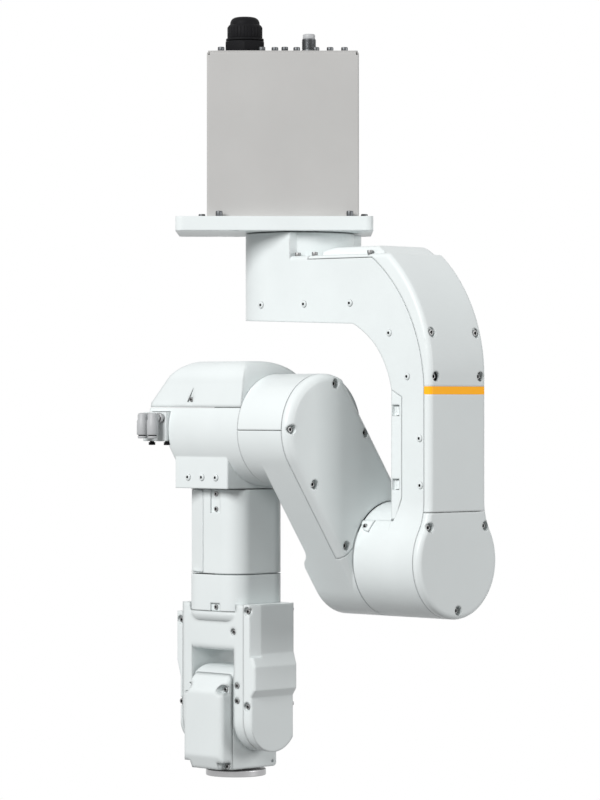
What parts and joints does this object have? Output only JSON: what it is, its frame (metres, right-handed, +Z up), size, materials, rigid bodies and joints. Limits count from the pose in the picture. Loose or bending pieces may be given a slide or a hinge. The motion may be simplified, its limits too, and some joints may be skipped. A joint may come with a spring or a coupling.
{
  "type": "articulated robot",
  "caption": "Ceiling-mounted robot arm with a curved first arm, a short second arm that swings past it, an elbow, a forearm and a forked wrist.",
  "frame": {"origin": "on the first joint's axis, in the upper mounting face of the base plate", "axes": "+Z up into the ceiling, along the first joint's axis; +X to the right of the picture along the long side of the base plate; +Y away from the viewer"},
  "size_m": [0.3665, 0.2678, 0.7823],
  "materials": {
    "white_casting": "white paint over cast aluminium, satin",
    "white_cover": "white moulded cover, satin",
    "grey_sheet": "warm light grey paint on sheet steel",
    "black_plastic": "matt black",
    "grey_plastic": "light grey, satin",
    "orange_plastic": "orange band, satin",
    "dark_metal": "blackened steel",
    "bare_metal": "machined steel",
    "motor_metal": "dark anodised",
    "silver_flange": "machined aluminium",
    "belt_rubber": "matt black",
    "green_board": "green laminate"
  },
  "bodies": {
    "base": {"base_plate": "white_casting", "base_cover": "grey_sheet", "connector_panel": "grey_sheet", "gland_plate": "grey_sheet", "cable_gland_body": "black_plastic", "cable_gland_nut": "black_plastic", "cable_gland_plug": "black_plastic", "signal_connector": "dark_metal", "connector_cap": "grey_plastic", "panel_screws": "dark_metal", "plate_bolts": "dark_metal", "j1_motor": "motor_metal", "j1_reducer": "bare_metal", "terminal_board": "green_board"},
    "arm_1": {"arm1_frame": "white_casting", "spine_cover": "white_cover", "spine_stripe": "orange_plastic", "j2_cap": "white_cover", "cable_cover": "white_cover", "clip_plate": "white_cover", "arm1_button_screws": "dark_metal", "arm1_cover_screws": "dark_metal", "j1_output_hub": "bare_metal", "j2_motor": "motor_metal", "j2_reducer": "bare_metal"},
    "arm_2": {"arm2_frame": "white_casting", "arm2_side_cover": "white_cover", "arm2_end_cover": "white_cover", "arm2_cover_screws": "dark_metal", "j2_output_hub": "bare_metal", "j3_motor": "motor_metal", "j3_reducer": "bare_metal"},
    "arm_3": {"elbow_housing": "white_casting", "elbow_hood": "white_cover", "elbow_screws": "dark_metal", "air_manifold": "white_casting", "air_fitting_1": "grey_plastic", "air_fitting_2": "grey_plastic", "manifold_plugs": "black_plastic", "j3_output_hub": "bare_metal", "j4_motor": "motor_metal", "j4_reducer": "bare_metal"},
    "arm_4": {"forearm_tube": "white_casting", "forearm_plate": "white_cover", "forearm_ring": "white_casting", "wrist_fork": "white_casting", "fork_cover_right": "white_cover", "fork_cover_left": "white_cover", "forearm_screws": "dark_metal", "j4_output_hub": "bare_metal", "j5_motor": "motor_metal", "j5_reducer": "bare_metal", "j5_belt": "belt_rubber"},
    "wrist": {"wrist_housing": "white_casting", "wrist_cover": "white_cover", "wrist_screws": "dark_metal", "j5_pulley": "bare_metal", "j6_motor": "motor_metal", "j6_reducer": "bare_metal"},
    "flange": {"tool_flange": "silver_flange"}
  },
  "joints": [
    {"name": "j1_turn", "type": "hinge", "parent": "base", "child": "arm_1", "pos_m": [0, 0, 0], "axis": [0, 0, 1], "range_deg": [-135, 225]},
    {"name": "j2_swing", "type": "hinge", "parent": "arm_1", "child": "arm_2", "pos_m": [0, 0, -0.3518], "axis": [0.7071, -0.7071, 0], "range_deg": [-35, 180]},
    {"name": "j3_elbow", "type": "hinge", "parent": "arm_2", "child": "arm_3", "pos_m": [-0.06604, -0.06604, -0.22004], "axis": [-0.7071, 0.7071, 0], "range_deg": [-35, 150]},
    {"name": "j4_roll", "type": "hinge", "parent": "arm_3", "child": "arm_4", "pos_m": [-0.06604, -0.06604, -0.22004], "axis": [0, 0, 1], "range_deg": [-195, 195]},
    {"name": "j5_bend", "type": "hinge", "parent": "arm_4", "child": "wrist", "pos_m": [-0.06604, -0.06604, -0.51544], "axis": [0.7071, -0.7071, 0], "range_deg": [-130, 130]},
    {"name": "j6_spin", "type": "hinge", "parent": "wrist", "child": "flange", "pos_m": [-0.06604, -0.06604, -0.57564], "axis": [0, 0, 1], "range_deg": [-360, 360]}
  ]
}
